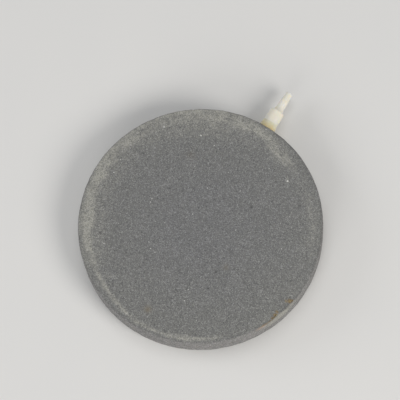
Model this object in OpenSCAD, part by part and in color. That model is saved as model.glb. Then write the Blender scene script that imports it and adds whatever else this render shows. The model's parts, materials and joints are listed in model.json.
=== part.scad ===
// Round air stone for ponds and large aquariums: two discs of bonded mineral grain, glued
// together round a shallow air chamber, with a glued-in plastic hose nozzle at the rim.
// Millimetres. The origin is the centre of the bottom face, +Z is up, +X runs out along the nozzle.

/* [Disc] */
// Diameter of the disc
disc_d = 150; // [120:1:200]
// Overall thickness of the disc
disc_t = 18; // [16:0.5:24]
// Radius of the rounded top and bottom edges
edge_r = 0.8; // [0.4:0.1:1.5]
// Thickness of the adhesive film between the two discs
film_t = 0.4; // [0.2:0.1:0.8]

/* [Air chamber] */
// Width of the glued land between the chamber and the rim
land_w = 15; // [13:0.5:20]
// Depth of the recess in each disc
recess_t = 2.6; // [2:0.1:3.2]
// Radius of the rounded corner where the recess meets its wall
recess_corner_r = 1.2; // [0.6:0.1:1.6]
// Diameter of a support post at its tip
post_d = 9; // [7:0.5:12]
// Extra radius of a support post at its root
post_flare = 1.2; // [0.6:0.1:1.6]
// Number of support posts on the ring round the middle one
post_count = 6; // [4:1:8]
// Radius of the ring of posts, as a share of the chamber's radius
post_ring_share = 0.57; // [0.45:0.01:0.65]

/* [Nozzle] */
// Diameter of the drilled hole in the rim
hole_d = 8.4; // [8:0.1:9.4]
// Length of the plug inside the hole
plug_l = 13; // [10:0.5:15]
// Diameter of the plug between its grip rings
plug_d = 6.6; // [6:0.1:7]
// Diameter of the grip rings on the plug
grip_d = 7.6; // [7.2:0.1:7.8]
// Number of grip rings
grip_count = 3; // [2:1:4]
// Diameter of the nozzle's body where it meets the disc
body_root_d = 10; // [9.8:0.1:10.6]
// Diameter of the nozzle's body at its shoulder
body_end_d = 9.6; // [8.6:0.1:9.8]
// Length of the nozzle's body outside the disc
body_l = 14; // [10:0.1:18]
// Length of the concave shoulder between the body and the spigot
shoulder_l = 2.9; // [2:0.1:4]
// Diameter of the straight part of the hose spigot
spigot_d = 5.4; // [4.6:0.1:5.8]
// Length of the straight part of the hose spigot
spigot_straight_l = 4; // [3:0.5:6]
// Length of the tapered part of the hose spigot
spigot_taper_l = 7.3; // [5:0.1:9]
// Diameter of the spigot at its tip, where the rounding starts
spigot_tip_d = 4.3; // [3.6:0.1:4.5]
// Radius of the rounding at the tip
tip_r = 0.4; // [0.2:0.1:0.4]
// Diameter of the air bore
bore_d = 2.4; // [2:0.1:2.6]

/* [Nozzle adhesive] */
// Length of the adhesive collar along the nozzle
collar_l = 7; // [4:0.5:9]
// Height of the adhesive collar on the disc's rim, beyond the nozzle's body
collar_h = 1; // [0.6:0.1:2]

/* [Hidden] */
$fn = 96;

disc_r = disc_d / 2;
chamber_r = disc_r - land_w;
half_t = (disc_t - film_t) / 2;
mid_z = disc_t / 2;
post_ring_r = chamber_r * post_ring_share;
post_root_r = post_d / 2 + post_flare;
arc_steps = 5;         // straight pieces in each rounded stretch of an outline
over = 1;              // how far a cutting solid runs past what it cuts
body_gap = 0.1;        // adhesive between the rim and the back of the nozzle's body
plug_lead = 1.2;       // plain length of the plug before its first grip ring
plug_tail = 1.8;       // plain length of the plug between its last grip ring and the body
grip_w = 1.4;          // length of one grip ring, from its root to its crest
grip_pitch = (plug_l - plug_lead - plug_tail) / grip_count;
plug_start = disc_r - plug_l;
body_start = disc_r + body_gap;
body_end = body_start + body_l;
spigot_start = body_end + shoulder_l;
taper_start = spigot_start + spigot_straight_l;
nozzle_end = taper_start + spigot_taper_l;
collar_root = 2;       // how far the collar's blank starts inside the disc, where it is cut off
collar_sink = 0.05;    // how far the thin end of the collar dips into the nozzle's body

POST_IDS = [0 : post_count];

stone_grey = [0.50, 0.50, 0.48];
amber = [0.62, 0.45, 0.20];
epoxy_yellow = [0.80, 0.72, 0.46];
ivory = [0.90, 0.88, 0.80];

// Points of a circular arc in an outline, from angle a to angle b.
function arc(centre, r, a, b) =
    [for (i = [0 : arc_steps]) let (t = a + (b - a) * i / arc_steps)
        [centre[0] + r * cos(t), centre[1] + r * sin(t)]];

// Points of a concave quarter ellipse that drops by drop while it runs on by run.
function fillet(start, drop, run) =
    [for (i = [0 : arc_steps]) let (t = 90 * i / arc_steps)
        [start[0] - drop * sin(t), start[1] + run * (1 - cos(t))]];

// Radius of the nozzle's body at distance x from the disc's axis.
function body_r(x) =
    (body_root_d + (body_end_d - body_root_d) * (x - body_start) / body_l) / 2;

// Points of the collar's outside, which thins out along the nozzle's body.
function collar_curve() =
    [for (i = [0 : arc_steps]) let (s = i / arc_steps, x = disc_r + s * collar_l)
        [body_r(x) + (collar_h + collar_sink) * pow(1 - s, 2) - collar_sink, x]];

// Place of post i: number 0 is in the middle and the others are on the ring, either side of +X.
function post_angle(i) = (i - 0.5) * 360 / post_count;
function post_place(i) =
    i == 0 ? [0, 0, 0] : [post_ring_r * cos(post_angle(i)), post_ring_r * sin(post_angle(i)), 0];

// Stands a solid of revolution along +X, at the height of the nozzle's axis.
module along_x() {
    translate([0, 0, mid_z]) rotate([0, 90, 0]) children();
}

// The hole for the nozzle, from the chamber out through the rim.
module nozzle_hole() {
    along_x() translate([0, 0, chamber_r - over]) cylinder(d = hole_d, h = land_w + 2 * over);
}

// One disc, lying on its outer face: rounded outer edge, and recess and posts on top.
module disc_half() {
    floor_z = half_t - recess_t;
    difference() {
        rotate_extrude()
            polygon(concat([[0, 0]],
                           arc([disc_r - edge_r, edge_r], edge_r, -90, 0),
                           [[disc_r, half_t], [0, half_t]]));
        rotate_extrude()
            polygon(concat([[0, floor_z]],
                           arc([chamber_r - recess_corner_r, floor_z + recess_corner_r],
                               recess_corner_r, -90, 0),
                           [[chamber_r, half_t + over], [0, half_t + over]]));
    }
    for (i = POST_IDS)
        translate(post_place(i) + [0, 0, floor_z])
            cylinder(r1 = post_root_r, r2 = post_d / 2, h = recess_t);
}

module lower_disc() {
    color(stone_grey) difference() {
        disc_half();
        nozzle_hole();
    }
}

module upper_disc() {
    color(stone_grey) difference() {
        translate([0, 0, disc_t]) mirror([0, 0, 1]) disc_half();
        nozzle_hole();
    }
}

// The ring of adhesive between the two lands.
module rim_adhesive() {
    color(amber) difference() {
        translate([0, 0, half_t]) cylinder(r = disc_r, h = film_t);
        translate([0, 0, half_t - over]) cylinder(r = chamber_r, h = film_t + 2 * over);
        nozzle_hole();
    }
}

// The dot of adhesive between one pair of posts.
module post_adhesive(i) {
    color(amber) translate(post_place(i) + [0, 0, half_t]) cylinder(d = post_d, h = film_t);
}

// Outline of the nozzle: plug with grip rings, body, shoulder, spigot and rounded tip.
// The first number is the distance from the nozzle's axis, and the second from the disc's.
function nozzle_outline() = concat(
    [[0, plug_start], [plug_d / 2, plug_start]],
    [for (i = [0 : grip_count - 1], p = [[plug_d / 2, 0], [grip_d / 2, grip_w], [plug_d / 2, grip_w]])
        [p[0], plug_start + plug_lead + i * grip_pitch + p[1]]],
    [[plug_d / 2, body_start], [body_root_d / 2, body_start]],
    fillet([body_end_d / 2, body_end], (body_end_d - spigot_d) / 2, shoulder_l),
    [[spigot_d / 2, taper_start]],
    arc([spigot_tip_d / 2 - tip_r, nozzle_end - tip_r], tip_r, 0, 90),
    [[0, nozzle_end]]);

module nozzle_blank() {
    along_x() rotate_extrude() polygon(nozzle_outline());
}

module hose_nozzle() {
    color(ivory) difference() {
        nozzle_blank();
        along_x() translate([0, 0, plug_start - over])
            cylinder(d = bore_d, h = nozzle_end - plug_start + 2 * over);
    }
}

// The collar of adhesive on the rim, before the nozzle is taken out of it.
module collar_blank() {
    difference() {
        along_x() rotate_extrude()
            polygon(concat([[0, disc_r - collar_root], [collar_curve()[0][0], disc_r - collar_root]],
                           collar_curve(),
                           [[0, disc_r + collar_l]]));
        cylinder(r = disc_r, h = disc_t);
    }
}

// The adhesive that fills the hole round the plug and stands up round the nozzle's root.
module nozzle_adhesive() {
    color(epoxy_yellow) difference() {
        union() {
            along_x() translate([0, 0, plug_start]) cylinder(d = hole_d, h = plug_l);
            collar_blank();
        }
        nozzle_blank();
    }
}

upper_disc();
lower_disc();
rim_adhesive();
for (i = POST_IDS) post_adhesive(i);
hose_nozzle();
nozzle_adhesive();
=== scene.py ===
import json
import math
import random
from math import cos, exp, hypot, pi, radians, sin, sqrt, tau

import bmesh
import bpy
from mathutils import Matrix, Vector, kdtree, noise


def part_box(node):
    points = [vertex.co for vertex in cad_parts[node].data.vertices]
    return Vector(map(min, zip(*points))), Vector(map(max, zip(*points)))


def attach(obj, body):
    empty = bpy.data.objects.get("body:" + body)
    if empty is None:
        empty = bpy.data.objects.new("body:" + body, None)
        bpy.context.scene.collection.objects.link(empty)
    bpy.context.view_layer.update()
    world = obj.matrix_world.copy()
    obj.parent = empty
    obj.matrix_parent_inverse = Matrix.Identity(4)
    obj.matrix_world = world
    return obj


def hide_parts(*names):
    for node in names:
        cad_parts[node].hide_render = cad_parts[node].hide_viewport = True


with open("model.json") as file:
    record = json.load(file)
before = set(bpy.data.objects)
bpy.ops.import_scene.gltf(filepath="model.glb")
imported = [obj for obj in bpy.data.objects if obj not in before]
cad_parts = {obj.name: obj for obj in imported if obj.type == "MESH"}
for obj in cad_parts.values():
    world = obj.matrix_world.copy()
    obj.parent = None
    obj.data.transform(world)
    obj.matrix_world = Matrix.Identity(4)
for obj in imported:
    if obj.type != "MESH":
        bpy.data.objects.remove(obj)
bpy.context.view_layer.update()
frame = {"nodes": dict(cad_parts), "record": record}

MM = 0.001

# ---- Places and sizes from the frame ----

upper_low, upper_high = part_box("upper_disc")
nozzle_low, nozzle_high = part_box("hose_nozzle")
spigot = next(m for m in frame["record"]["mounts"] if m["name"] == "airline_spigot")

DISC_R = upper_high[0]
DISC_T = upper_high[2]
SEAM_TOP = upper_low[2]
SEAM_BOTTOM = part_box("lower_disc")[1][2]
MID_Z = (SEAM_TOP + SEAM_BOTTOM) / 2
SPIGOT_R = spigot["dims"]["r_mm"] * MM
SPIGOT_STRAIGHT = spigot["dims"]["length_mm"] * MM
SPIGOT_START = spigot["pos_m"][0] - SPIGOT_STRAIGHT / 2
TIP_X = nozzle_high[0]
PLUG_X = nozzle_low[0]
BODY_ROOT_R = (nozzle_high[2] - nozzle_low[2]) / 2

# ---- Camera ----

CAMERA_DISTANCE = 1.2
CAMERA_TILT = radians(17.23)  # away from straight above
CAMERA_HEADING = radians(-138.4)  # which side of the disc it leans to
CAMERA_ROLL = radians(-9.45)
LENS_MM = 175.9
SENSOR_MM = 36.0
SEES_TO = 10.0
AIM_UP = 17.2 * MM  # the picture's centre, above the disc's
AIM_RIGHT = -0.5 * MM


def add_camera():
    centre = Vector((0, 0, MID_Z))
    back = around(sin(CAMERA_TILT), CAMERA_HEADING, cos(CAMERA_TILT))
    place = centre + back * CAMERA_DISTANCE
    right = (-back).cross(Vector((0, 0, 1))).normalized()
    up = right.cross(-back)
    turned_right = right * cos(CAMERA_ROLL) + up * sin(CAMERA_ROLL)
    turned_up = up * cos(CAMERA_ROLL) - right * sin(CAMERA_ROLL)
    aim = centre + turned_up * AIM_UP + turned_right * AIM_RIGHT
    back = (place - aim).normalized()
    side = turned_up.cross(back).normalized()
    camera = in_scene("camera", bpy.data.cameras.new("camera"))
    camera.data.lens = LENS_MM
    camera.data.sensor_width = SENSOR_MM
    camera.data.clip_end = SEES_TO
    axes = Matrix((side, back.cross(side), back)).transposed()
    camera.matrix_world = Matrix.Translation(place) @ axes.to_4x4()
    bpy.context.scene.camera = camera


# ---- Material helpers ----

MIDDLE = 0.5  # middle value of a noise texture
SWING = 0.2  # how far its values commonly are from the middle
SHORT_SWING = 0.15  # a narrower range, for more contrast
SUDDEN = 0.01  # width of a change that is nearly a step


class Nodes:
    """Short names for building one material's node tree. Sizes of patterns are in mm."""

    def __init__(self, name):
        self.material = bpy.data.materials.new(name)
        self.material.use_nodes = True
        self.tree = self.material.node_tree
        self.shader = self.tree.nodes["Principled BSDF"]
        self.place = self.node("TexCoord")["Object"]

    def feed(self, socket, value):
        if isinstance(value, bpy.types.NodeSocket):
            self.tree.links.new(value, socket)
        elif socket.type == "RGBA":
            socket.default_value = (*value, 1.0)
        else:
            socket.default_value = value

    def node(self, kind, feeds=(), **settings):
        """Adds a node, feeds its sockets by name or number, and gives its outputs."""
        node = self.tree.nodes.new("ShaderNode" + kind)
        for key, value in settings.items():
            setattr(node, key, value)
        for socket, value in dict(feeds).items():
            self.feed(node.inputs[socket], value)
        return node.outputs

    def noise(self, size_mm, detail=2.0, roughness=0.5, output="Fac"):
        scale = 1.0 / (size_mm * MM)
        feeds = {"Vector": self.place, "Scale": scale, "Detail": detail, "Roughness": roughness}
        return self.node("TexNoise", feeds)[output]

    def cells(self, size_mm, place, feature="F1"):
        feeds = {"Vector": place, "Scale": 1.0 / (size_mm * MM)}
        return self.node("TexVoronoi", feeds, feature=feature)

    def strayed(self, size_mm, amount_mm):
        """The place, moved about by noise, for edges that are not straight."""
        stray = self.noise(size_mm, output="Color")
        centred = self.maths("SUBTRACT", stray, (MIDDLE,) * 3, kind="VectorMath")
        moved = self.maths("MULTIPLY", centred, (2 * amount_mm * MM,) * 3, kind="VectorMath")
        return self.maths("ADD", self.place, moved, kind="VectorMath")

    def maths(self, operation, *values, kind="Math"):
        return self.node(kind, enumerate(values), operation=operation)[0]

    def plus(self, a, b):
        return self.maths("ADD", a, b)

    def times(self, a, b):
        return self.maths("MULTIPLY", a, b)

    def attribute(self, name):
        return self.node("Attribute", attribute_name=name)["Fac"]

    def span(self, value, low, high, to_low=0.0, to_high=1.0):
        """Maps low..high to to_low..to_high, held at both ends."""
        return self.node("MapRange", enumerate((value, low, high, to_low, to_high)), clamp=True)[0]

    def spread(self, value, to_low=0.0, to_high=1.0, swing=SWING):
        """Maps the common values of a noise texture to to_low..to_high."""
        return self.span(value, MIDDLE - swing, MIDDLE + swing, to_low, to_high)

    def sway(self, value, amount):
        """Noise from -amount to amount."""
        return self.spread(value, -amount, amount)

    def blend(self, share, a, b, kind="FLOAT", way="MIX"):
        """Between two numbers."""
        feeds = {"Factor": share, "A": a, "B": b}
        return self.node("Mix", feeds, data_type=kind, blend_type=way)["Result"]

    def mix(self, share, a, b, way="MIX"):
        """Between two colours, or their product."""
        return self.blend(share, a, b, "RGBA", way)

    def ramp(self, value, stops):
        """Colours at places from 0 to 1."""
        colour = self.node("ValToRGB", {"Fac": value})["Color"]
        elements = colour.node.color_ramp.elements
        while len(elements) < len(stops):
            elements.new(MIDDLE)
        for element, (place, tint) in zip(elements, stops):
            element.position = place
            element.color = (*tint, 1.0)
        return colour

    def bump(self, height, distance, strength, **below):
        feeds = {"Height": height, "Distance": distance, "Strength": strength, **below}
        return self.node("Bump", feeds)["Normal"]

    def surface(self, **values):
        """Sets the Principled shader's sockets by name, with _ for each space."""
        for key, value in values.items():
            self.feed(self.shader.inputs[key.replace("_", " ")], value)
        return self.material


# ---- Bonded grain ----

FACE_GREY = (0.235, 0.235, 0.231)
CENTRE_TINT = (0.226, 0.226, 0.227)
RIM_TINT = (0.25, 0.249, 0.233)
# The wall's grey, lighter than the face's, partly as painted light where the wall faces the lamps.
WALL_GREY_PARTLY_LIT = (0.305, 0.297, 0.289)
DARK_GRAIN = (0.085, 0.085, 0.085)
LIGHT_GRAIN = (0.35, 0.346, 0.33)
CREVICE = (0.105, 0.105, 0.102)
# Pale colour of dust, also used as the painted reflection of the face's pale ring and as painted light on
# the wall.
PALE_DUST_AND_LIGHT = (0.392, 0.384, 0.342)
RUST_STAIN = (0.41, 0.31, 0.245)
OCHRE_STAIN = (0.165, 0.132, 0.082)
# Near black for dark pits and for the darker band along the face's edge.
DARK_PIT_AND_EDGE_COLOUR = (0.05, 0.05, 0.05)
WHITE_GRAIN = (0.66, 0.655, 0.62)
# Amber resin that has soaked in: where each colour lies in its noise.
AMBER_COLOURS = [(0.36, (0.13, 0.07, 0.012)), (0.52, (0.235, 0.155, 0.058)), (0.66, (0.31, 0.245, 0.095))]

# Sizes of the grains and of the noise that varies them, in mm.
GRAIN_MM = 0.56
GRIT_MM = 0.36
OUTLINE_MM, OUTLINE_STRAY_MM = 0.3, 0.05
FINE_MM = 0.3
CLUMP_MM = 1.3
MOTTLE_MM = 4.5
BROAD_MM = 38.0
PORE_MM = 0.9
STAIN_MM = 1.5

WHOLE_SHARE = 0.62  # share of coarse grains not split into small ones
TINT_RANGE = (0.25, 0.95)  # from the centre's tint to the rim's, by radius
BROAD_SHARE = 0.5
# Each grain has a random kind from 0 to 1, which makes some of them dark or light.
DARK_RANGE, DARK_SHARE = (0.83, 0.88), 0.62
LIGHT_RANGE, LIGHT_SHARE = (0.06, 0.04), 0.18
LEVEL_POWER, LEVEL_RANGE = 0.65, (0.61, 1.25)
FINE_SWAY, MOTTLE_SWAY, BLUE_SWAY = 0.1, 0.05, 0.05
CLUMP_RAG, FINE_RAG = 0.22, 0.13  # how ragged the edges of dust and stains are
# Dust below also holds painted reflection and painted light, which even out the grain as dust does.
DUST_AND_LIGHT_RANGE, DUST_AND_LIGHT_FADE = (0.05, 1.1), 0.15
DUST_AND_LIGHT_EVENS = 0.78  # how much full dust evens out the grains
# Gaps between grains, in mm, and how far open pores widen them.
GAP_MM, GAP_SWAY_MM, GAP_SHARE, GAP_SHARE_UNDER_DUST_AND_LIGHT = 0.08, 0.03, 0.75, 0.45
PORE_RANGE, PORE_WIDENS_MM = (0.58, 0.76), 0.11
RUST_RANGE, RUST_SHARE = (0.25, 1.05), 0.65
AMBER_RANGE, AMBER_SHARE, AMBER_RAG = (0.3, 0.6), 0.7, 0.6
PALE_RANGE, PALE_SWAY = (0.36, 0.46), 0.1
# Bumps, here and below: height and strength.
DOME_RANGE_MM, DOME_BUMP, FINE_BUMP = (-0.02, 0.2), (0.1 * MM, 0.5), (0.05 * MM, 0.4)
CHALKY, GLASSY, GLASSY_RANGE, AMBER_GLOSS = 0.93, 0.6, (0.86, 0.9), 0.42


def grain_cells(n):
    """Grains of two sizes: their distance from the nearest gap, in mm, and three random numbers each."""
    place = n.strayed(OUTLINE_MM, OUTLINE_STRAY_MM)
    pick, small_pick = (n.node("SeparateColor", {"Color": n.cells(size, place)["Color"]})
                        for size in (GRAIN_MM, GRIT_MM))
    from_gap, from_small_gap = (n.times(n.cells(size, place, "DISTANCE_TO_EDGE")["Distance"], size)
                                for size in (GRAIN_MM, GRIT_MM))
    split = n.span(pick["Red"], WHOLE_SHARE, WHOLE_SHARE + SUDDEN)
    from_small_gap = n.plus(from_small_gap, n.blend(split, 1.0, 0.0))
    level = n.blend(split, pick["Blue"], small_pick["Blue"])
    kind = n.blend(split, pick["Green"], small_pick["Green"])
    tone = n.blend(split, small_pick["Red"], small_pick["Green"])
    return n.maths("MINIMUM", from_gap, from_small_gap), level, kind, tone


def dust_and_light_cover(n, ragged):
    """How much dust and painted light hide the grain, in clumps with ragged edges."""
    dust_and_light_mask = n.attribute("dust_and_light")
    cover = n.span(n.plus(dust_and_light_mask, ragged), *DUST_AND_LIGHT_RANGE)
    return n.times(cover, n.span(dust_and_light_mask, 0.0, DUST_AND_LIGHT_FADE))


def stone_colour(n, dust_and_light, kind):
    """Grey by place, with a lighter wall that is partly painted light, with dust and painted light, and
    with dark and light grains on it.
    """
    base = n.mix(n.span(n.attribute("from_axis"), *TINT_RANGE), CENTRE_TINT, RIM_TINT)
    base = n.mix(n.spread(n.noise(BROAD_MM), 0.0, BROAD_SHARE, SHORT_SWING), base, FACE_GREY)
    # The wall's lighter grey, partly painted light.
    base = n.mix(n.attribute("wall"), base, WALL_GREY_PARTLY_LIT)
    # Pale dust, partly a painted reflection in the ring and painted light on the wall.
    base = n.mix(dust_and_light, base, PALE_DUST_AND_LIGHT)
    base = n.mix(n.span(kind, *DARK_RANGE, 0.0, DARK_SHARE), base, DARK_GRAIN)
    return n.mix(n.span(kind, *LIGHT_RANGE, 0.0, LIGHT_SHARE), base, LIGHT_GRAIN)


def grain_shade(n, fine, dust_and_light, pick, tone):
    """How light each grain is, as a colour to multiply by."""
    level = n.blend(n.maths("POWER", pick, LEVEL_POWER), *LEVEL_RANGE)
    level = n.plus(level, n.sway(fine, FINE_SWAY))
    mottle = n.noise(MOTTLE_MM, detail=4.0, roughness=0.55)
    level = n.plus(level, n.sway(mottle, MOTTLE_SWAY))
    # Dust and painted light even out the grains.
    level = n.blend(n.times(dust_and_light, DUST_AND_LIGHT_EVENS), level, 1.0)
    blue = n.times(level, n.blend(tone, 1 - BLUE_SWAY, 1 + BLUE_SWAY))
    return n.node("CombineColor", enumerate((level, level, blue)))["Color"]


def stained(n, base, ragged, amber):
    """The base colour with rust, soaked-in resin, ochre spots, dark pits and a darker band along the edge.
    """
    rust = n.span(n.plus(n.attribute("rust"), ragged), *RUST_RANGE, 0.0, RUST_SHARE)
    base = n.mix(rust, base, RUST_STAIN)
    resin = n.ramp(n.noise(STAIN_MM, detail=3.0, roughness=0.6), AMBER_COLOURS)
    base = n.mix(n.times(amber, AMBER_SHARE), base, resin)
    base = n.mix(n.attribute("ochre"), base, OCHRE_STAIN)
    # Dark pits, and a darker band along the face's edge.
    return n.mix(n.attribute("dark_pit_and_edge"), base, DARK_PIT_AND_EDGE_COLOUR)


def bonded_grain():
    """Grey mineral grain bonded into a porous stone, with dust, painted reflection and painted light,
    resin stains and pale grains.
    """
    n = Nodes("bonded_grain")
    from_gap, pick, kind, tone = grain_cells(n)
    fine = n.noise(FINE_MM, roughness=0.6)
    clump = n.noise(CLUMP_MM, roughness=0.6)
    ragged = n.plus(n.sway(clump, CLUMP_RAG), n.sway(fine, FINE_RAG))
    dust_and_light = dust_and_light_cover(n, ragged)
    base = stone_colour(n, dust_and_light, kind)
    base = n.mix(1.0, base, grain_shade(n, fine, dust_and_light, pick, tone), "MULTIPLY")

    pores = n.span(n.noise(PORE_MM, detail=1.0), *PORE_RANGE, 0.0, PORE_WIDENS_MM)
    from_gap = n.maths("SUBTRACT", n.plus(from_gap, n.sway(fine, GAP_SWAY_MM)), pores)
    gap = n.span(from_gap, 0.0, GAP_MM, GAP_SHARE, 0.0)
    gap = n.times(gap, n.blend(dust_and_light, 1.0, GAP_SHARE_UNDER_DUST_AND_LIGHT))
    base = n.mix(gap, base, CREVICE)

    amber = n.plus(n.attribute("amber"), n.times(ragged, AMBER_RAG))
    amber = n.span(amber, *AMBER_RANGE)
    base = stained(n, base, ragged, amber)
    pale = n.plus(n.attribute("pale_grain"), n.sway(fine, PALE_SWAY))
    base = n.mix(n.span(pale, *PALE_RANGE), base, WHITE_GRAIN)

    bump = n.bump(n.span(from_gap, *DOME_RANGE_MM), *DOME_BUMP)
    bump = n.bump(fine, *FINE_BUMP, Normal=bump)
    rough = n.blend(amber, n.span(tone, *GLASSY_RANGE, CHALKY, GLASSY), AMBER_GLOSS)
    return n.surface(Base_Color=base, Roughness=rough, Normal=bump, Specular_IOR_Level=0.3)


# ---- Resins, epoxy and plastic ----

RESIN_BROWN = (0.165, 0.112, 0.06)
RESIN_TAN = (0.25, 0.205, 0.15)
RESIN_GRIT = (0.235, 0.228, 0.215)
SEAM_CLOUD_MM, SEAM_GRIT_MM = 5.0, 0.7
SEAM_GRIT_RANGE, SEAM_GRIT_SHARES = (0.4, 0.56), (0.25, 0.95)
SEAM_ROUGH, SEAM_BUMP = (0.4, 0.85), (0.08 * MM, 0.7)


def seam_resin():
    """Cured resin with so much grain dust in it that it is nearly the stone's colour."""
    n = Nodes("seam_resin")
    cloud = n.noise(SEAM_CLOUD_MM, detail=4.0, roughness=0.6)
    grit = n.span(n.noise(SEAM_GRIT_MM, detail=3.0, roughness=0.7), *SEAM_GRIT_RANGE)
    colour = n.mix(n.spread(cloud, swing=SHORT_SWING), RESIN_BROWN, RESIN_TAN)
    colour = n.mix(n.blend(grit, *SEAM_GRIT_SHARES), colour, RESIN_GRIT)
    rough = n.blend(grit, *SEAM_ROUGH)
    return n.surface(Base_Color=colour, Roughness=rough, Normal=n.bump(grit, *SEAM_BUMP))


DROP_DEEP = (0.095, 0.064, 0.018)
DROP_GOLD = (0.255, 0.19, 0.058)
DROP_CLOUD_MM, DROP_GRIT_MM, DROP_LUMP_MM = 1.4, 0.45, 0.5
DROP_GRIT_RANGE, DROP_GRIT_SHARE = (0.52, 0.6), 0.6
DROP_SWING, DROP_ROUGH, DROP_BUMP = 0.12, (0.12, 0.3), (0.08 * MM, 0.6)


def drop_resin():
    """Clean amber resin, glossy and darker where it is thick."""
    n = Nodes("drop_resin")
    cloud = n.noise(DROP_CLOUD_MM, detail=3.0, roughness=0.6)
    grit = n.span(n.noise(DROP_GRIT_MM), *DROP_GRIT_RANGE, 0.0, DROP_GRIT_SHARE)
    colour = n.mix(n.spread(cloud, swing=DROP_SWING), DROP_DEEP, DROP_GOLD)
    colour = n.mix(grit, colour, RESIN_GRIT)
    return n.surface(
        Base_Color=colour,
        Roughness=n.spread(cloud, *DROP_ROUGH),
        Normal=n.bump(n.noise(DROP_LUMP_MM), *DROP_BUMP),
        Subsurface_Weight=0.25,
        Subsurface_Radius=(1.0, 0.55, 0.12),
        Subsurface_Scale=0.8 * MM,
    )


PLASTIC_IVORY = (0.79, 0.768, 0.69)
PLASTIC_WARM = (0.775, 0.73, 0.61)
PLASTIC_CLOUD_MM, PLASTIC_FLOW_MM, PLASTIC_SHEEN_MM = 6.0, 1.6, 0.9
PLASTIC_ROUGH, PLASTIC_BUMP = (0.3, 0.42), (0.02 * MM, 0.4)


def nozzle_plastic():
    """Ivory moulded plastic that lets a little light in."""
    n = Nodes("nozzle_plastic")
    cloud = n.noise(PLASTIC_CLOUD_MM, detail=3.0)
    return n.surface(
        Base_Color=n.mix(n.spread(cloud), PLASTIC_IVORY, PLASTIC_WARM),
        Roughness=n.spread(n.noise(PLASTIC_SHEEN_MM, detail=3.0), *PLASTIC_ROUGH),
        Normal=n.bump(n.noise(PLASTIC_FLOW_MM), *PLASTIC_BUMP),
        Subsurface_Weight=0.55,
        Subsurface_Radius=(1.0, 0.85, 0.6),
        Subsurface_Scale=2.4 * MM,
        IOR=1.49,
    )


# Epoxy from thin to thick.
EPOXY_COLOURS = [(0.05, (0.84, 0.8, 0.66)), (0.45, (0.72, 0.645, 0.43)), (0.95, (0.61, 0.49, 0.25))]
EPOXY_CLOUD_MM, EPOXY_LUMP_MM, BUBBLE_MM = 3.0, 1.6, 1.3
EPOXY_UNEVEN, EPOXY_ROUGH, EPOXY_BUMP = 0.15, (0.18, 0.32), (0.05 * MM, 0.4)
BUBBLE_RANGE, BUBBLE_SHARE = (0.06, 0.14), 0.25


def nozzle_epoxy():
    """Yellowish cured epoxy, paler where it thins out over the plastic, with small bubbles."""
    n = Nodes("nozzle_epoxy")
    cloud = n.noise(EPOXY_CLOUD_MM, detail=3.0, roughness=0.6)
    bubble = n.span(n.cells(BUBBLE_MM, n.place)["Distance"], *BUBBLE_RANGE, BUBBLE_SHARE, 0.0)
    thick = n.plus(n.attribute("thickness"), n.sway(cloud, EPOXY_UNEVEN))
    colour = n.mix(bubble, n.ramp(thick, EPOXY_COLOURS), PLASTIC_IVORY)
    return n.surface(
        Base_Color=colour,
        Roughness=n.spread(cloud, *EPOXY_ROUGH),
        Normal=n.bump(n.noise(EPOXY_LUMP_MM), *EPOXY_BUMP),
        Subsurface_Weight=0.3,
        Subsurface_Radius=(1.0, 0.7, 0.25),
        Subsurface_Scale=1.2 * MM,
        IOR=1.52,
    )


# ---- Shared helpers ----

FADED = 2.2  # radii from its centre at which a soft spot has faded out
SEED_STEP = (7.31, 3.17, 5.53)  # keeps the noise of two seeds apart


def new_object(name, points, faces):
    mesh = bpy.data.meshes.new(name)
    mesh.from_pydata([tuple(p) for p in points], [], faces)
    mesh.update()
    return in_scene(name, mesh)


def in_scene(name, data):
    piece = bpy.data.objects.new(name, data)
    bpy.context.scene.collection.objects.link(piece)
    return piece


def finish_piece(piece, material, nodes, smooth_angle=None):
    """Gives a piece its material, shading and place in the assembly."""
    piece.data.materials.clear()
    piece.data.materials.append(material)
    for polygon in piece.data.polygons:
        polygon.use_smooth = True
    if smooth_angle is not None:
        piece.data.set_sharp_from_angle(angle=radians(smooth_angle))
    if nodes:
        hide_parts(*nodes)
    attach(piece, "root")


def cut_out(piece, other):
    """Cuts other out of piece, and deletes other."""
    modifier = piece.modifiers.new("cut", "BOOLEAN")
    modifier.operation = "DIFFERENCE"
    modifier.solver = "MANIFOLD"
    modifier.object = other
    graph = bpy.context.evaluated_depsgraph_get()
    result = bpy.data.meshes.new_from_object(piece.evaluated_get(graph), depsgraph=graph)
    piece.modifiers.clear()
    piece.data = result
    bpy.data.objects.remove(other)


def ring_faces(first, second, count):
    """Quads between two rings of count points that start at those numbers."""
    after = [(j + 1) % count for j in range(count)]
    return [(first + j, second + j, second + k, first + k) for j, k in enumerate(after)]


def hoop(name, sections):
    """A closed hoop made of sections, each with the same number of points."""
    points, faces = [p for section in sections for p in section], []
    size = len(sections[0])
    for j in range(len(sections)):
        here, there = j * size, (j + 1) * size % len(points)
        for i in range(size):
            k = (i + 1) % size
            faces.append((here + i, there + i, there + k, here + k))
    return new_object(name, points, faces)


def around(r, angle, z=0.0):
    """A point about the disc's axis."""
    return Vector((r * cos(angle), r * sin(angle), z))


def turns(count):
    """Angles all the way round."""
    return [tau * j / count for j in range(count)]


def circle(r, count, z):
    return [around(r, angle, z) for angle in turns(count)]


def about_nozzle(x, r, angle):
    """A point about the nozzle's axis."""
    return Vector((x, r * cos(angle), MID_Z + r * sin(angle)))


def bell(distance, width):
    return exp(-((distance / width) ** 2))


def step(distance, width):
    """0 well before a place and 1 well past it."""
    return 0.5 + 0.5 * math.tanh(distance / width)


def wander(place, seed, amount, size, offset=0):
    """Smooth noise from -amount to amount, in lumps of about that size."""
    apart = Vector([(seed + offset) * each for each in SEED_STEP])
    return amount * noise.noise(place / size + apart)


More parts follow.
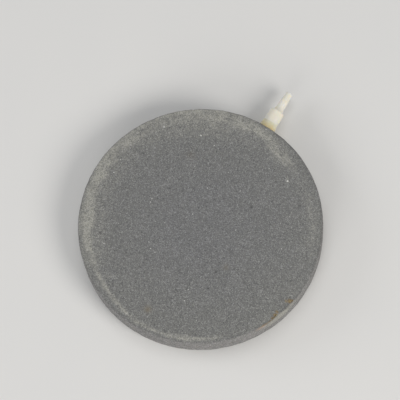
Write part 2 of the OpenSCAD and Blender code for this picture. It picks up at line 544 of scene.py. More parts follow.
def uneven(place, seed, *sway):
    """A factor that wanders about 1."""
    return 1 + wander(place, seed, *sway)


def point_tree(points):
    tree = kdtree.KDTree(len(points))
    for i, p in enumerate(points):
        tree.insert(p, i)
    tree.balance()
    return tree


def dab(values, tree, centre, radius, strength):
    """Raises the values near a centre to a soft spot of that radius."""
    for _, i, far in tree.find_range(centre, radius * FADED):
        values[i] = max(values[i], strength * bell(far, radius))


# ---- The two discs ----

EDGE_R = 0.8 * MM  # rounding of the outer edge
SECTORS = 6  # of the face's triangle grid, whose ring k holds 6 k points
GRID_RINGS = 134
ROUND = SECTORS * GRID_RINGS  # points round the disc
ARRIS_ROWS = 4
WALL_ROWS = 14
SEAM_BEVEL = 0.2 * MM  # worn corner where each disc meets the seam
# Rows of that corner: how far in and up, as shares of the bevel, and its slope in radians.
BEVEL_ROWS = [(0.3, 0.3, -0.6), (1.0, 0.0, -1.2)]
LAND_RING = 72.0 * MM  # where the flat underside of the blank closes
SKIN = 0.1 * MM  # how far the mean surface lies inside the CAD size
# Variations, here and below: amount, size of the lumps, and what is added to the seed.
WAVE = (0.05 * MM, 22.0 * MM, 0)
GRAIN_RELIEF = (0.055 * MM, 1.5 * MM, 1)
JITTER = 0.03 * MM
FACE_PITS = 330
WALL_PITS = 110
PIT_R = (0.45 * MM, 1.0 * MM)
PIT_DEPTH = (0.12 * MM, 0.42 * MM)
CHIPS = 46
CHIP_LENGTH = (0.8 * MM, 2.6 * MM)
CHIP_DEPTH = (0.15 * MM, 0.55 * MM)
CHIP_WIDTH = 1.2 * EDGE_R
ARRIS_WEAR, ARRIS_WEAR_W = 0.16 * MM, 1.1 * MM
ARRIS_SWAY = (0.8, 6.0 * MM, 2)
# Seeds of each disc: its wear and its marks.
UPPER_WEAR, UPPER_MARKS, LOWER_WEAR, LOWER_MARKS = 3, 11, 5, 12


def grid_point(ring, number):
    """Index of a point on one of the rings of the face's grid."""
    return 1 + SECTORS * ring * (ring - 1) // 2 + number % (SECTORS * ring) if ring else 0


def face_grid(radius, height):
    """Points and triangles of a flat disc with an even grid."""
    points, triangles = [Vector((0, 0, height))], []
    for k in range(1, GRID_RINGS + 1):
        points += circle(radius * k / GRID_RINGS, SECTORS * k, height)
        for sector in range(SECTORS):
            for j in range(k):
                inner = grid_point(k - 1, sector * (k - 1) + j)
                after = grid_point(k, sector * k + j + 1)
                triangles.append((inner, grid_point(k, sector * k + j), after))
                if j < k - 1:
                    triangles.append((inner, after, grid_point(k - 1, sector * (k - 1) + j + 1)))
    return points, triangles


def edge_profile(height):
    """Radius, height and outward slope of each row from the face's edge down to the seam."""
    rows = []
    top = height - EDGE_R
    for i in range(1, ARRIS_ROWS + 1):
        turn = pi / 2 * (1 - i / ARRIS_ROWS)
        rows.append((DISC_R - EDGE_R + EDGE_R * cos(turn), top + EDGE_R * sin(turn), turn))
    rows += [(DISC_R, top - (top - SEAM_BEVEL) * i / WALL_ROWS, 0.0) for i in range(1, WALL_ROWS + 1)]
    return rows + [(DISC_R - SEAM_BEVEL * back, SEAM_BEVEL * up, slope) for back, up, slope in BEVEL_ROWS]


def disc_skin(height):
    """Points, outward normals and faces of a smooth half disc's outside, down to the seam."""
    points, faces = face_grid(DISC_R - EDGE_R, height)
    normals = [Vector((0, 0, 1))] * len(points)
    for r, z, slope in edge_profile(height):
        start = len(points)
        faces += ring_faces(start - ROUND, start, ROUND)
        points += circle(r, ROUND, z)
        normals += circle(cos(slope), ROUND, sin(slope))
    return points, normals, faces


def from_corner(p, face_z):
    """Distance from the sharp corner that face and wall would make without their rounding."""
    return hypot(hypot(p.x, p.y) - DISC_R, p.z - face_z)


def dent_depths(points, height, rand, extra_pits):
    """How deep each point lies in a pit or in a chip out of the edge."""
    tree = point_tree(points)
    depth = [0.0] * len(points)
    for _ in range(FACE_PITS):
        r = (DISC_R - EDGE_R) * sqrt(rand.random())
        centre = around(r, rand.uniform(0, tau), height)
        dab(depth, tree, centre, rand.uniform(*PIT_R), rand.uniform(*PIT_DEPTH))
    for _ in range(WALL_PITS):
        centre = around(DISC_R, rand.uniform(0, tau), rand.uniform(0, height))
        dab(depth, tree, centre, rand.uniform(*PIT_R), rand.uniform(*PIT_DEPTH))
    for centre, radius, amount in extra_pits:
        dab(depth, tree, centre, radius, amount)

    # Chips out of the edge, long along it and shallow across it.
    for _ in range(CHIPS):
        angle = rand.uniform(0, tau)
        length = rand.uniform(*CHIP_LENGTH)
        amount = rand.uniform(*CHIP_DEPTH)
        corner = around(DISC_R, angle, height)
        for place, i, _ in tree.find_range(corner, length * 2):
            along = (place - corner).dot(Vector((-sin(angle), cos(angle), 0)))
            dent = amount * bell(along, length) * bell(from_corner(place, height), CHIP_WIDTH)
            depth[i] = max(depth[i], dent)
    return depth


def disc_blank(name, height, seed, extra_pits=()):
    """A solid half disc, face up, seam at z = 0, with worn grain all over its outside."""
    rand = random.Random(seed)
    points, normals, faces = disc_skin(height)
    depth = dent_depths(points, height, rand, extra_pits)
    for i, (p, normal) in enumerate(zip(points, normals)):
        lump = wander(p, seed, *WAVE) + wander(p, seed, *GRAIN_RELIEF)
        wear = ARRIS_WEAR * bell(from_corner(p, height), ARRIS_WEAR_W) * uneven(p, seed, *ARRIS_SWAY)
        inward = SKIN + wear + depth[i] - lump + rand.uniform(-JITTER, JITTER)
        points[i] = p - normal * max(inward, 0.0)
    start = len(points)
    faces += ring_faces(start - ROUND, start, ROUND)
    faces.append(tuple(reversed(range(start, start + ROUND))))
    points += circle(LAND_RING, ROUND, 0.0)
    return new_object(name, points, faces)


def flip_over(piece, top):
    """Turns a piece upside down in place, so that its z = 0 becomes z = top."""
    piece.data.transform(Matrix.Translation((0, 0, top)) @ Matrix.Diagonal((1, 1, -1, 1)))
    piece.data.flip_normals()


HOLLOW_R = 70.0 * MM
HOLLOW_DEPTH = 6.0 * MM
CUT_PAST = 1.0 * MM
DRUM_SIDES = 180
WELD = 0.001 * MM
HOLE_R = 4.2 * MM
HOLE_FROM = 64.0 * MM
HOLE_TO = 78.0 * MM
HOLE_STEPS = 24
HOLE_SIDES = 64
TEAR_LENGTH = 3.0 * MM
TEAR_DEPTH = 0.25 * MM
TEAR_SWAY = (1.0, 2.0 * MM)
TEAR_SEED = 9


def cad_copy(node):
    """A welded copy of a CAD node's mesh, to cut with."""
    mesh = frame["nodes"][node].data.copy()
    work = bmesh.new()
    work.from_mesh(mesh)
    bmesh.ops.remove_doubles(work, verts=work.verts, dist=WELD)
    work.to_mesh(mesh)
    work.free()
    mesh.materials.clear()
    return in_scene("copy_of_" + node, mesh)


def drum(radius, low, high):
    """A closed upright drum, to cut with."""
    work = bmesh.new()
    middle = Matrix.Translation((0, 0, (low + high) / 2))
    bmesh.ops.create_cone(work, cap_ends=True, segments=DRUM_SIDES, radius1=radius, radius2=radius,
                          depth=high - low, matrix=middle)
    mesh = bpy.data.meshes.new("drum")
    work.to_mesh(mesh)
    work.free()
    return in_scene("drum", mesh)


def ragged_hole():
    """The outer part of the drilled hole, a little torn out towards the rim, to cut with."""
    points, faces = [], []
    for i in range(HOLE_STEPS + 1):
        x = HOLE_FROM + (HOLE_TO - HOLE_FROM) * i / HOLE_STEPS
        tear = TEAR_DEPTH * max(0.0, (x - (DISC_R - TEAR_LENGTH)) / TEAR_LENGTH)
        for angle in turns(HOLE_SIDES):
            ring = Vector((x, cos(angle) * HOLE_R, sin(angle) * HOLE_R))
            points.append(about_nozzle(x, HOLE_R + tear * uneven(ring, TEAR_SEED, *TEAR_SWAY), angle))
    for i in range(HOLE_STEPS):
        faces += ring_faces(i * HOLE_SIDES, (i + 1) * HOLE_SIDES, HOLE_SIDES)
    last = HOLE_STEPS * HOLE_SIDES
    faces.append(tuple(range(HOLE_SIDES)))
    faces.append(tuple(reversed(range(last, last + HOLE_SIDES))))
    piece = new_object("ragged_hole", points, faces)
    piece.data.flip_normals()
    return piece


def hollow_out(piece, node, low, high):
    """Takes the CAD node's own air chamber, posts and hole out of the solid blank."""
    cutter = drum(HOLLOW_R, low, high)
    cut_out(cutter, cad_copy(node))
    cut_out(piece, cutter)
    cut_out(piece, ragged_hole())


# ---- Dust, stains, painted light and other marks on the discs ----

# Marks on the upper face: distance from the axis in mm, angle in degrees, then strength, or
# half width in mm and strength.
PALE_GRAINS = [(60, -31, 1.0), (57, 32, 0.8), (67, 52, 0.8), (8, 68, 0.6), (63, 90, 0.65),
               (42, -157, 0.55), (51, 23, 0.6), (60, 134, 0.6), (52, -76, 0.55), (66, -176, 0.55),
               (55, -18, 0.55), (50, 121, 0.55), (65, 82, 0.6), (27, 119, 0.5), (37, 38, 0.5)]
DARK_PITS = [(33, -39, 1.0), (61, 127, 0.9), (32, -130, 0.9), (62, -48, 0.7),
             (30, 71, 0.7), (70, -165, 0.7), (41, -141, 0.6), (50, -168, 0.6)]
OCHRE_SPOTS = [(62, -178, 2.0, 0.6), (32, -118, 1.8, 0.3), (45, 40, 2.5, 0.15)]
AMBER_SPOTS = [(73.5, -109.5, 1.4, 0.9), (72.5, -108, 1.3, 0.75), (74, -111.5, 1.1, 0.85),
               (73, -100, 1.6, 0.9), (71.5, -101, 1.5, 0.6), (74, -99, 1.1, 0.75)]
# Scuffs on the upper face: both ends as distance in mm and angle, then strength.
SCUFFS = [((66, 53), (58, 61), 0.55), ((73, 40), (70, 38), 0.9), ((61, 49), (59, 47), 0.5),
          ((59, 41), (57, 39), 0.4), ((57, 33), (58, 28), 0.6), ((57, 24), (59, 21), 0.7),
          ((65, 23), (56, 28), 0.35), ((64, 107), (61, 106), 0.6), ((65, 150), (66, 152), 0.6),
          ((66, 152), (60, 155), 0.6), ((61, -28), (60, -32), 0.8), ((52, -10), (51, -14), 0.35)]
SCUFF_W = 0.42 * MM
PALE_GRAIN_R = 0.62 * MM
DARK_PIT_R = 0.8 * MM
DARK_PIT_DEPTH = 0.5 * MM
# Other pale grains: how many on face and wall, how pale, and how far down the wall they lie,
# as a share of the thickness.
RANDOM_GRAINS = 40
GRAIN_MARGIN = 2.0 * MM
FACE_GRAIN, WALL_GRAIN = (0.45, 0.6), (0.45, 0.7)
WALL_GRAIN_AT = (0.1, 0.45)

# Dust and painted reflection on the face by direction: the ring is partly a painted reflection and
# partly dust. Angle in degrees, then the ring's radius, strength and half width, the strength of
# the haze inside it and that of the dust on the edge itself, which is below 0 where the edge is darker.
DUST_AND_REFLECTION_RING = [(0, 69.4, 1.0, 2.7, 0.18, 0.25), (15, 69.5, 0.55, 2.9, 0.38, 0.4),
             (30, 68.6, 0.36, 2.8, 0.42, 0.75), (45, 69.0, 0.32, 2.8, 0.36, 0.8),
             (60, 67.8, 0.32, 2.2, 0.26, 0.95), (75, 70.0, 0.55, 2.8, 0.26, 0.6),
             (105, 69.4, 0.7, 3.0, 0.28, 0.3), (120, 69.0, 0.78, 3.0, 0.42, 0.15),
             (135, 69.3, 0.9, 2.5, 0.28, 0.05), (150, 69.1, 0.78, 1.7, 0.06, -0.2),
             (165, 70.2, 1.1, 1.5, 0.0, -0.3), (180, 72.0, 0.6, 1.5, 0.0, -0.1),
             (195, 72.1, 0.62, 1.3, 0.0, 0.0), (210, 72.0, 0.95, 1.4, 0.0, -0.2),
             (228, 72.0, 0.15, 1.4, 0.0, -0.2), (250, 71.5, 0.08, 1.7, 0.04, -0.8),
             (270, 71.0, 0.03, 2.0, 0.08, -0.3), (300, 68.5, 0.28, 2.5, 0.12, 0.0),
             (330, 66.0, 0.04, 3.0, 0.1, 0.0), (345, 65.8, 0.8, 3.0, 0.18, -0.3),
             (360, 69.4, 1.0, 2.7, 0.18, 0.25)]
RING_FALLOFF = 2.5  # above 2, so that the ring is even across and ends sharply
STREAKS_ROUND, STREAK_W = 9, 1.1 * MM  # streaks along the ring: per radian, and their width
HAZE_FROM, HAZE_SOFT = 58.0 * MM, 5.0 * MM
EDGE_DUST_W = 2.8 * MM
# Darker along the face's edge, more so where the ring's edge value is below 0: strength and half width.
EDGE_DARKENING, EDGE_DARKENING_W = 0.16, 1.3 * MM
RING_SWAY = (0.45 * MM, 4.0 * MM, 0)
WIDTH_SWAY = (0.35, 14.0 * MM, 6)
STREAK_SWAY = (0.9, 1.0, 5)
PATCH_SWAY = (0.6, 5.0 * MM, 3)
SPECK_SWAY = (0.35, 1.8 * MM, 8)
HAZE_SWAY = (0.9, 5.0 * MM, 7)
EDGE_DUST_SWAY = (0.8, 3.0 * MM, 2)
PALE_WALL_PATCH_SWAY = (1.0, 4.0 * MM, 9)

# How far the face's dust and painted light reach down the wall, and where the wall's lighter grey, partly
# painted light, starts.
FACE_REACH = 0.5 * MM
WALL_FROM, WALL_SOFT, WALL_DROP = 0.55 * MM, 0.16 * MM, 0.4 * MM
# A thin resin line along a stretch of the edge, between two directions in degrees.
AMBER_LINE, AMBER_LINE_ENDS = (-119.0, -110.0), 2.0
AMBER_LINE_SHARE, AMBER_LINE_BACK, AMBER_LINE_W = 0.72, 0.3 * MM, 0.7 * MM
# A rusty stain on the wall: direction and half width in degrees, then depth and half height.
RUST_AT, RUST_W, RUST_DROP, RUST_HEIGHT = -118.0, 3.6, 1.2 * MM, 3.2 * MM
# A pale patch down the wall, partly painted light where the wall faces the key and partly dust: direction
# and half width in degrees, then strength.
PALE_WALL_PATCH_AT, PALE_WALL_PATCH_W, PALE_WALL_PATCH = -107.0, 9.0, 1.1
# Directions on the lower face, where the ring is a different one: angle times this, plus this.
LOWER_TURNS, LOWER_SHIFT = 2, 1.0


def at(r_mm, degrees):
    return around(r_mm * MM, radians(degrees), DISC_T)


def toward(angle, degrees, half_width):
    """1 in a direction and 0 well away from it; the angle is in radians."""
    return bell(angle - radians(degrees), radians(half_width))


def dust_row(angle):
    """The row of DUST_AND_REFLECTION_RING for an angle, lengths in metres."""
    degrees = math.degrees(angle) % 360
    for (a, *here), (b, *there) in zip(DUST_AND_REFLECTION_RING, DUST_AND_REFLECTION_RING[1:]):
        if degrees <= b:
            break
    t = (degrees - a) / (b - a)
    t = t * t * (3 - 2 * t)
    r, share, width, haze, edge = (v + (w - v) * t for v, w in zip(here, there))
    return r * MM, share, width * MM, haze, edge


def face_dust_and_reflection(p, r, angle, row, seed):
    """Dust and painted reflection at a point of the face: the ring, partly a painted reflection, the haze
    inside it and the dust on the edge.
    """
    ring_r, share, width, haze, edge = row
    ring_r += wander(p, seed, *RING_SWAY)
    width *= uneven(p, seed, *WIDTH_SWAY)
    streak = uneven(Vector((angle * STREAKS_ROUND, r / STREAK_W, 0)), seed, *STREAK_SWAY)
    patch = uneven(p, seed, *PATCH_SWAY) + wander(p, seed, *SPECK_SWAY)
    # The pale ring: partly a painted reflection, partly dust.
    ring = share * exp(-abs((r - ring_r) / width) ** RING_FALLOFF) * streak * patch
    haze *= step(r - HAZE_FROM, HAZE_SOFT) * uneven(p, seed, *HAZE_SWAY)
    edge_dust = edge * bell(DISC_R - r, EDGE_DUST_W) * uneven(p, seed, *EDGE_DUST_SWAY)
    return max(ring, 0.0) + max(haze, 0.0) + max(edge_dust, 0.0)


def line_share(angle):
    """1 on the stretch of edge with the resin line and 0 elsewhere."""
    low, high = (radians(a) for a in AMBER_LINE)
    return step(min(angle - low, high - angle), radians(AMBER_LINE_ENDS))


def dab_scuffs(values, tree):
    for first, last, strength in SCUFFS:
        a, b = at(*first), at(*last)
        reach = (b - a).length / 2 + 2 * SCUFF_W
        for p, i, _ in tree.find_range(a.lerp(b, 0.5), reach):
            t = max(0.0, min(1.0, (p - a).dot(b - a) / (b - a).length_squared))
            values[i] = max(values[i], strength * bell((p - a.lerp(b, t)).length, SCUFF_W))


def random_grains(rand, face_z):
    """Places and strengths of pale grains scattered over a disc's face and wall."""
    grains = []
    for _ in range(RANDOM_GRAINS):
        r = (DISC_R - GRAIN_MARGIN) * sqrt(rand.random())
        grains.append((around(r, rand.uniform(0, tau), face_z), rand.uniform(*FACE_GRAIN)))
        angle = rand.uniform(0, tau)
        height = rand.uniform(*WALL_GRAIN_AT) * DISC_T
        grains.append((around(DISC_R, angle, abs(face_z - height)), rand.uniform(*WALL_GRAIN)))
    return grains


def paint(piece, face_z, seed, marked):
    """Stores where the disc is dusty, stained, pitted or pale, where light is painted on it and where its
    edge is darker, for its material to read.
    """
    rand = random.Random(seed)
    points = [v.co.copy() for v in piece.data.vertices]
    tree = point_tree(points)
    names = ("from_axis", "wall", "dust_and_light", "amber", "rust", "ochre", "dark_pit_and_edge", "pale_grain")
    values = {name: [0.0] * len(points) for name in names}
    for i, p in enumerate(points):
        r = hypot(p.x, p.y)
        angle = math.atan2(p.y, p.x)
        drop = abs(p.z - face_z)
        corner = from_corner(p, face_z)
        row = dust_row(angle if marked else angle * LOWER_TURNS + LOWER_SHIFT)
        at_wall = step(r - (DISC_R - WALL_FROM), WALL_SOFT)
        values["from_axis"][i] = r / DISC_R
        # The wall's lighter grey, partly painted light.
        values["wall"][i] = at_wall * min(1.0, drop / WALL_DROP)
        values["dust_and_light"][i] = min(1.0, face_dust_and_reflection(p, r, angle, row, seed) * bell(drop, FACE_REACH))
        # Darker along the face's edge, more so where the ring's edge value is below 0.
        values["dark_pit_and_edge"][i] = EDGE_DARKENING * bell(corner, EDGE_DARKENING_W) * max(0.0, 1 - 2 * row[-1])
        if marked:
            # A pale patch down the wall: partly painted light where it faces the key, partly dust.
            pale_wall_patch = PALE_WALL_PATCH * toward(angle, PALE_WALL_PATCH_AT, PALE_WALL_PATCH_W) * uneven(p, seed, *PALE_WALL_PATCH_SWAY)
            stain = toward(angle, RUST_AT, RUST_W) * bell(drop - RUST_DROP, RUST_HEIGHT)
            line = line_share(angle) * bell(corner - AMBER_LINE_BACK, AMBER_LINE_W)
            values["dust_and_light"][i] += pale_wall_patch * values["wall"][i]
            values["rust"][i] = stain * at_wall
            values["amber"][i] = line * AMBER_LINE_SHARE
    grains = random_grains(rand, face_z)
    if marked:
        grains += [(at(r, a), share) for r, a, share in PALE_GRAINS]
        for name, spots in (("ochre", OCHRE_SPOTS), ("amber", AMBER_SPOTS)):
            for r, a, width, strength in spots:
                dab(values[name], tree, at(r, a), width * MM, strength)
        for r, a, strength in DARK_PITS:
            dab(values["dark_pit_and_edge"], tree, at(r, a), DARK_PIT_R, strength)
        dab_scuffs(values["dust_and_light"], tree)
    # Each pale grain sits on a point of the mesh, so that none is lost between points.
    for centre, strength in grains:
        dab(values["pale_grain"], tree, tree.find(centre)[0], PALE_GRAIN_R, strength)
    for name in names:
        layer = piece.data.attributes.new(name, "FLOAT", "POINT")
        layer.data.foreach_set("value", values[name])


def add_discs(material):
    seam = Vector((0, 0, SEAM_TOP))
    pits = [(at(r, a) - seam, DARK_PIT_R, share * DARK_PIT_DEPTH) for r, a, share in DARK_PITS]
    upper = disc_blank("upper_disc_stone", DISC_T - SEAM_TOP, UPPER_WEAR, pits)
    upper.data.transform(Matrix.Translation((0, 0, SEAM_TOP)))
    hollow_out(upper, "upper_disc", SEAM_TOP - CUT_PAST, SEAM_TOP + HOLLOW_DEPTH)
    paint(upper, DISC_T, UPPER_MARKS, marked=True)
    finish_piece(upper, material, ["upper_disc"])

    lower = disc_blank("lower_disc_stone", SEAM_BOTTOM, LOWER_WEAR)
    flip_over(lower, SEAM_BOTTOM)
    hollow_out(lower, "lower_disc", SEAM_BOTTOM - HOLLOW_DEPTH, SEAM_BOTTOM + CUT_PAST)
    paint(lower, 0.0, LOWER_MARKS, marked=False)
    finish_piece(lower, material, ["lower_disc"])


# ---- Adhesive in the seam ----

SEAM_INNER_R = 60.0 * MM
SEAM_OUTER_R = DISC_R - 0.2 * MM
SEAM_CLEAR = 0.02 * MM  # least distance inside the disc's true radius
SEAM_SIDES = 720
BEAD = 0.1 * MM  # how far the film's outer edge swells up and down
SEAM_SEED = 31
REACH_SWAY = (0.12 * MM, 4.0 * MM, 0)
BEAD_SWAY = (0.06 * MM, 1.5 * MM, 1)
SLANT_SWAY = (0.15 * MM, 7.0 * MM, 2)
# The bead's outline: distances in from its outer edge, and the nose's share of its height.
BEAD_BACK, BEAD_TOP, BEAD_NOSE, NOSE_SHARE = 0.55 * MM, 0.22 * MM, 0.05 * MM, 0.6
# Small runs: how many, their half lengths and heights in mm, and how far they stand out.
RUNS, RUN_SEED = 26, 21
RUN_LENGTH_MM, RUN_HEIGHT_MM = (1.2, 4.0), (0.2, 0.7)
RUN_PROUD, RUN_FULL = 0.14 * MM, 0.4 * MM


def seam_runs():
    """Direction, half length and height of each small run."""
    rand = random.Random(RUN_SEED)
    return [(rand.uniform(0, tau), rand.uniform(*RUN_LENGTH_MM) * MM, rand.uniform(*RUN_HEIGHT_MM) * MM)
            for _ in range(RUNS)]


def add_rim_adhesive(material):
    """The resin film between the two lands, with an uneven outer edge and a few small runs."""
    sections = []
    half = (SEAM_TOP - SEAM_BOTTOM) / 2
    runs = seam_runs()
    for angle in turns(SEAM_SIDES):
        edge = around(DISC_R, angle)
        swell = 0.0
        for where, length, height in runs:
            away = abs((angle - where + pi) % tau - pi) * DISC_R
            swell = max(swell, height * bell(away, length))
        r = SEAM_OUTER_R + wander(edge, SEAM_SEED, *REACH_SWAY) + RUN_PROUD * min(1.0, swell / RUN_FULL)
        r = min(r, DISC_R - SEAM_CLEAR)
        bead = half + BEAD + swell + wander(edge, SEAM_SEED, *BEAD_SWAY)
        upper = [(r - BEAD_NOSE, bead * NOSE_SHARE), (r - BEAD_TOP, bead), (r - BEAD_BACK, half),
                 (SEAM_INNER_R, half)]
        lower = [(x, -z) for x, z in reversed(upper)]
        section = lower + [(r, wander(edge, SEAM_SEED, *SLANT_SWAY))] + upper
        sections.append([around(x, angle, MID_Z + z) for x, z in section])
    ring = hoop("rim_resin", sections)
    cut_out(ring, ragged_hole())
    finish_piece(ring, material, ["rim_adhesive"], smooth_angle=50)


# ---- Resin drops on the upper edge ----

# Angle, distance past the start of the edge's rounding (negative: on the face), half length
# along the edge and half width across it, all but the angle in mm.
DROPS = [(-109.4, -0.5, 1.7, 0.7), (-107.8, -1.1, 1.0, 0.6), (-111.2, 0.1, 1.4, 0.42),
         (-100.0, -1.0, 1.25, 0.95), (-99.1, -0.1, 0.85, 0.55)]
DROP_RINGS = 7
DROP_SIDES = 32
DROP_BURIED = 0.55 * MM
DROP_TOP = 0.03 * MM
OUTLINE_SWAY = (0.35, 0.8, 60)
SAG_SWAY = (0.25, 0.5, 80)


def skin_point(angle, along, lift):
    """A point over the ideal upper edge, at a distance along its profile and a height above it."""
    quarter = EDGE_R * pi / 2
    turn = min(max(along / EDGE_R, 0.0), pi / 2)
    r = DISC_R - EDGE_R + min(along, 0.0) + (EDGE_R + lift) * sin(turn)
    return around(r, angle, DISC_T - EDGE_R + (EDGE_R + lift) * cos(turn) - max(along - quarter, 0.0))


def add_drops(material):
    """Small cured runs of amber resin that lie over the worn edge."""
    points, faces = [], []
    for number, (degrees, middle, length, width) in enumerate(DROPS):
        first = len(points)
        points.append(skin_point(radians(degrees), middle * MM, -DROP_TOP))
        for ring in range(1, DROP_RINGS + 1):
            share = ring / DROP_RINGS
            for way in circle(1.0, DROP_SIDES, 0.0):
                swell = uneven(way, number, *OUTLINE_SWAY)
                angle = radians(degrees) + length * MM * swell * share * way.x / DISC_R
                along = (middle + width * swell * share * way.y) * MM
                sag = DROP_BURIED * (1 - sqrt(1 - share ** 2)) * uneven(way * share, number, *SAG_SWAY)
                points.append(skin_point(angle, along, -DROP_TOP - sag))
        faces += [(first, first + 1 + j, first + 1 + (j + 1) % DROP_SIDES) for j in range(DROP_SIDES)]
        for ring in range(DROP_RINGS - 1):
            start = first + 1 + ring * DROP_SIDES
            faces += ring_faces(start, start + DROP_SIDES, DROP_SIDES)
        faces.append(tuple(reversed(range(len(points) - DROP_SIDES, len(points)))))
    drops = new_object("resin_drops", points, faces)
    drops.data.flip_normals()
    finish_piece(drops, material, [])


# ---- Nozzle ----

NOZZLE_SIDES = 192
PLUG_R = 3.3 * MM
CHAMFER = 0.2 * MM
GRIP_R = 3.8 * MM
GRIP_W = 1.4 * MM
GRIP_BLUNT = 0.1 * MM
GRIP_STARTS = (1.2 * MM, 4.53 * MM, 7.87 * MM)
BODY_X = DISC_R + 0.1 * MM
BODY_END_X = BODY_X + 14.0 * MM
BODY_END_R = 4.8 * MM
BODY_ROUND, BODY_ARC = 0.6 * MM, (85, 35)
TIP_R = 2.15 * MM
TIP_ROUND, TIP_ARC = 0.4 * MM, (75, 0)
BORE_R = 1.2 * MM
BORE_LIP = 0.25 * MM
ARC_STEPS = 6
SHOULDER_STEPS = 10
SHOULDER_FROM = 12.0  # where the concave shoulder starts on its quarter ellipse, degrees
BODY_STEPS, SPIGOT_STEPS, BORE_STEPS = 9, 7, 10
# Mould lines along both sides, a gate mark underneath and shallow sink marks.
PARTING_RIDGE, RIDGE_W = 0.05 * MM, 0.14 * MM
GATE_X, GATE_R, GATE_RAISED = BODY_X + 9.0 * MM, 0.8 * MM, 0.12 * MM
DIMPLE_R, DIMPLE_DEPTH = 0.32 * MM, 0.16 * MM
SINK, SINKS_PER_M = 0.03 * MM, 180
SPIGOT_PLAIN = 0.2 * MM  # how far before the spigot gate and sink marks end


def rounded(corner_x, corner_r, radius, start, end):
    """Points of a rounded corner in the nozzle's outline, from angle start to end in degrees."""
    angles = [radians(start + (end - start) * i / ARC_STEPS) for i in range(ARC_STEPS + 1)]
    return [(corner_x - radius + radius * cos(t), corner_r - radius + radius * sin(t)) for t in angles]


def straight(first, last, steps):
    """Evenly spaced points from first to last."""
    return [tuple(a + (b - a) * i / steps for a, b in zip(first, last)) for i in range(steps + 1)]


def shoulder(first, last):
    """Points of a concave stretch of ellipse after first, level with the spigot at last."""
    start = radians(SHOULDER_FROM)
    points = []
    for i in range(1, SHOULDER_STEPS + 1):
        t = start + (pi / 2 - start) * i / SHOULDER_STEPS
        across = (cos(start) - cos(t)) / cos(start)
        down = (sin(t) - sin(start)) / (1 - sin(start))
        points.append(tuple(a + (b - a) * share for a, b, share in zip(first, last, (across, down))))
    return points


def nozzle_outline():
    """Closed outline of the nozzle's wall as (distance along, radius), with rounded corners."""
    line = [(PLUG_X, BORE_R + BORE_LIP), (PLUG_X, PLUG_R - CHAMFER), (PLUG_X + CHAMFER, PLUG_R)]
    for start in GRIP_STARTS:
        x = PLUG_X + start
        line += [(x, PLUG_R), (x + GRIP_W - GRIP_BLUNT, GRIP_R), (x + GRIP_W, GRIP_R - GRIP_BLUNT),
                 (x + GRIP_W, PLUG_R)]
    line += [(BODY_X, PLUG_R), (BODY_X, BODY_ROOT_R - CHAMFER), (BODY_X + CHAMFER, BODY_ROOT_R)]
    line += straight((BODY_X, BODY_ROOT_R), (BODY_END_X - BODY_ROUND, BODY_END_R), BODY_STEPS)[1:-1]
    line += rounded(BODY_END_X, BODY_END_R, BODY_ROUND, *BODY_ARC)
    line += shoulder(line[-1], (SPIGOT_START, SPIGOT_R))
    line.append((SPIGOT_START + SPIGOT_STRAIGHT / 2, SPIGOT_R))
    line += straight((SPIGOT_START + SPIGOT_STRAIGHT, SPIGOT_R), (TIP_X - TIP_ROUND, TIP_R), SPIGOT_STEPS)
    line += rounded(TIP_X, TIP_R, TIP_ROUND, *TIP_ARC)
    line += [(TIP_X, BORE_R + BORE_LIP), (TIP_X - BORE_LIP, BORE_R)]
    line += straight((TIP_X, BORE_R), (PLUG_X, BORE_R), BORE_STEPS)[1:-1]
    return line + [(PLUG_X + BORE_LIP, BORE_R)]


def nozzle_r(x, r, angle):
    """The moulded skin's radius where the outline's is r."""
    if r <= BORE_R + BORE_LIP:
        return r
    skin = r + PARTING_RIDGE * (bell(abs(sin(angle)) * r, RIDGE_W) - 1)
    if x > SPIGOT_START - SPIGOT_PLAIN:
        return skin
    if sin(angle) < 0:
        away = hypot(x - GATE_X, r * cos(angle))
        skin += GATE_RAISED * bell(away, GATE_R) - DIMPLE_DEPTH * bell(away, DIMPLE_R)
    return skin + SINK * noise.noise(Vector((x * SINKS_PER_M, cos(angle), sin(angle))))


def add_nozzle(material):
    outline = nozzle_outline()
    nozzle = hoop("nozzle", [[about_nozzle(x, nozzle_r(x, r, angle), angle) for x, r in outline]
                             for angle in turns(NOZZLE_SIDES)])
    finish_piece(nozzle, material, ["hose_nozzle"], smooth_angle=40)


# ---- Adhesive round the nozzle ----

COLLAR_LENGTH = 7.0 * MM
COLLAR_HEIGHT = 1.05 * MM
COLLAR_ROWS = 16
COLLAR_SIDES = 120
COLLAR_SEED = 41
MEAN_SHARE = 0.9  # of the collar's full length
LENGTH_SWAY = (0.2, 0.9, 0)
HEIGHT_SWAY = (0.35, 0.7, 1)
LUMP_SWAY = (0.1 * MM, 1.8 * MM, 2)
LUMP_ROUND = 4.0 * MM  # radius at which the lumps are laid round the nozzle
# How the collar rises to the rim: the thin film's share, its power and the foot's.
FILM_SHARE, FILM_POWER, FOOT_POWER = 0.03, 0.5, 2.2
PLUG_OVERLAP = 0.02 * MM
BODY_SINK = 0.3 * MM  # how far the epoxy dips into the body at its back
END_SINK = 0.12 * MM  # and at the collar's thin end
FOOT_SINK = 0.3 * MM  # how far the collar's foot dips into the rim
FOOT_BACK = 0.25 * MM


def body_r(x):
    """Radius of the nozzle's body at distance x from the disc's axis."""
    share = (x - BODY_X) / (BODY_END_X - BODY_X)
    return BODY_ROOT_R + (BODY_END_R - BODY_ROOT_R) * share


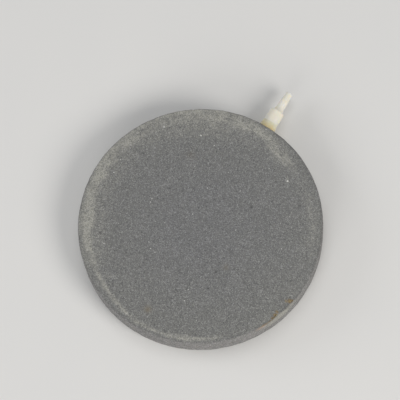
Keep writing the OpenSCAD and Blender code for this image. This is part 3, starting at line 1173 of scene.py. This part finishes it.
def collar_section(angle):
    """The epoxy's outline on one side of the nozzle, as (distance along, radius)."""
    way = around(1.0, angle)
    length = COLLAR_LENGTH * (MEAN_SHARE + wander(way, COLLAR_SEED, *LENGTH_SWAY))
    height = COLLAR_HEIGHT * uneven(way, COLLAR_SEED, *HEIGHT_SWAY)
    section = [(PLUG_X, PLUG_R - PLUG_OVERLAP), (BODY_X, PLUG_R - PLUG_OVERLAP),
               (BODY_X, BODY_ROOT_R - BODY_SINK),
               (DISC_R + length, body_r(DISC_R + length) - END_SINK)]
    for i in range(1, COLLAR_ROWS + 1):
        back = i / COLLAR_ROWS
        x = DISC_R + length * (1 - back)
        lump = wander(Vector((x, LUMP_ROUND * way.x, LUMP_ROUND * way.y)), COLLAR_SEED, *LUMP_SWAY)
        rise = FILM_SHARE * back ** FILM_POWER + (1 - FILM_SHARE) * back ** FOOT_POWER
        r = body_r(x) - PARTING_RIDGE * (1 - back) + height * rise + lump * back
        section.append((x, r))
    wall_x = sqrt(DISC_R ** 2 - (r * cos(angle)) ** 2) - FOOT_SINK
    return section[:-1] + [(wall_x, r), (wall_x - FOOT_BACK, HOLE_R), (PLUG_X, HOLE_R)]


def add_nozzle_adhesive(material):
    """Epoxy in the hole and a smeared collar of it round the nozzle's root."""
    collar = hoop("nozzle_glue", [[about_nozzle(x, r, angle) for x, r in collar_section(angle)]
                                  for angle in turns(COLLAR_SIDES)])
    collar.data.flip_normals()
    layer = collar.data.attributes.new("thickness", "FLOAT", "POINT")
    for vertex, value in zip(collar.data.vertices, layer.data):
        value.value = 1 - max(0.0, min(1.0, (vertex.co.x - DISC_R) / COLLAR_LENGTH))
    finish_piece(collar, material, ["nozzle_adhesive"], smooth_angle=60)


# ---- Stage ----

FLOOR_COLOUR = (0.72, 0.71, 0.69)
FLOOR_SHADE = (0.68, 0.68, 0.67)
FLOOR_SHADE_SHARE = 0.25
FLOOR_CLOUD_MM = 60.0
FLOOR_SIZE = 4.0
FLOOR_ROWS = 8
# Name, direction in degrees from the nozzle, elevation, size, watts, colour.
LIGHTS = [
    ("key", -95, 35, 1.3, 36.5, (1.0, 0.98, 0.95)),
    ("front", -170, 22, 1.4, 21.5, (1.0, 0.99, 0.98)),
    ("fill", 112, 20, 1.6, 18.0, (0.95, 0.97, 1.0)),
    ("top", 40, 75, 1.9, 13.0, (1.0, 1.0, 1.0)),
]
LIGHT_DISTANCE = 2.6
WORLD_COLOUR = (0.88, 0.9, 0.93)
WORLD_STRENGTH = 0.34


def floor_paper():
    n = Nodes("floor")
    cloud = n.spread(n.noise(FLOOR_CLOUD_MM, detail=3.0), 0.0, FLOOR_SHADE_SHARE)
    colour = n.mix(cloud, FLOOR_COLOUR, FLOOR_SHADE)
    return n.surface(Base_Color=colour, Roughness=0.85, Specular_IOR_Level=0.1)


def add_floor():
    row = [(i / FLOOR_ROWS - 0.5) * FLOOR_SIZE for i in range(FLOOR_ROWS + 1)]
    side = len(row)
    faces = [(a, a + side, a + side + 1, a + 1) for a in range(FLOOR_ROWS * side) if a % side < FLOOR_ROWS]
    floor = new_object("floor", [(x, y, 0) for x in row for y in row], faces)
    floor.data.materials.append(floor_paper())


def add_lights():
    """Soft studio light: a key from the picture's lower right, a low front light, a fill and a top."""
    for name, degrees, elevation, size, power, colour in LIGHTS:
        rise = radians(elevation)
        place = around(cos(rise), radians(degrees), sin(rise)) * LIGHT_DISTANCE
        light = bpy.data.lights.new(name, "AREA")
        light.shape = "DISK"
        light.size = size
        light.energy = power
        light.color = colour
        lamp = in_scene(name, light)
        lamp.location = place
        lamp.rotation_euler = place.to_track_quat("Z", "Y").to_euler()
    world = bpy.data.worlds.new("studio")
    world.use_nodes = True
    background = world.node_tree.nodes["Background"]
    background.inputs["Color"].default_value = (*WORLD_COLOUR, 1.0)
    background.inputs["Strength"].default_value = WORLD_STRENGTH
    bpy.context.scene.world = world


# ---- Assembly ----


def main():
    add_camera()
    add_lights()
    add_floor()
    grain = bonded_grain()
    resin = seam_resin()
    add_discs(grain)
    add_rim_adhesive(resin)
    add_drops(drop_resin())
    for name, node in frame["nodes"].items():
        if name.startswith("post_adhesive"):
            node.data.materials.clear()
            node.data.materials.append(resin)
    add_nozzle(nozzle_plastic())
    add_nozzle_adhesive(nozzle_epoxy())
    bpy.context.scene.view_settings.view_transform = "Standard"


main()
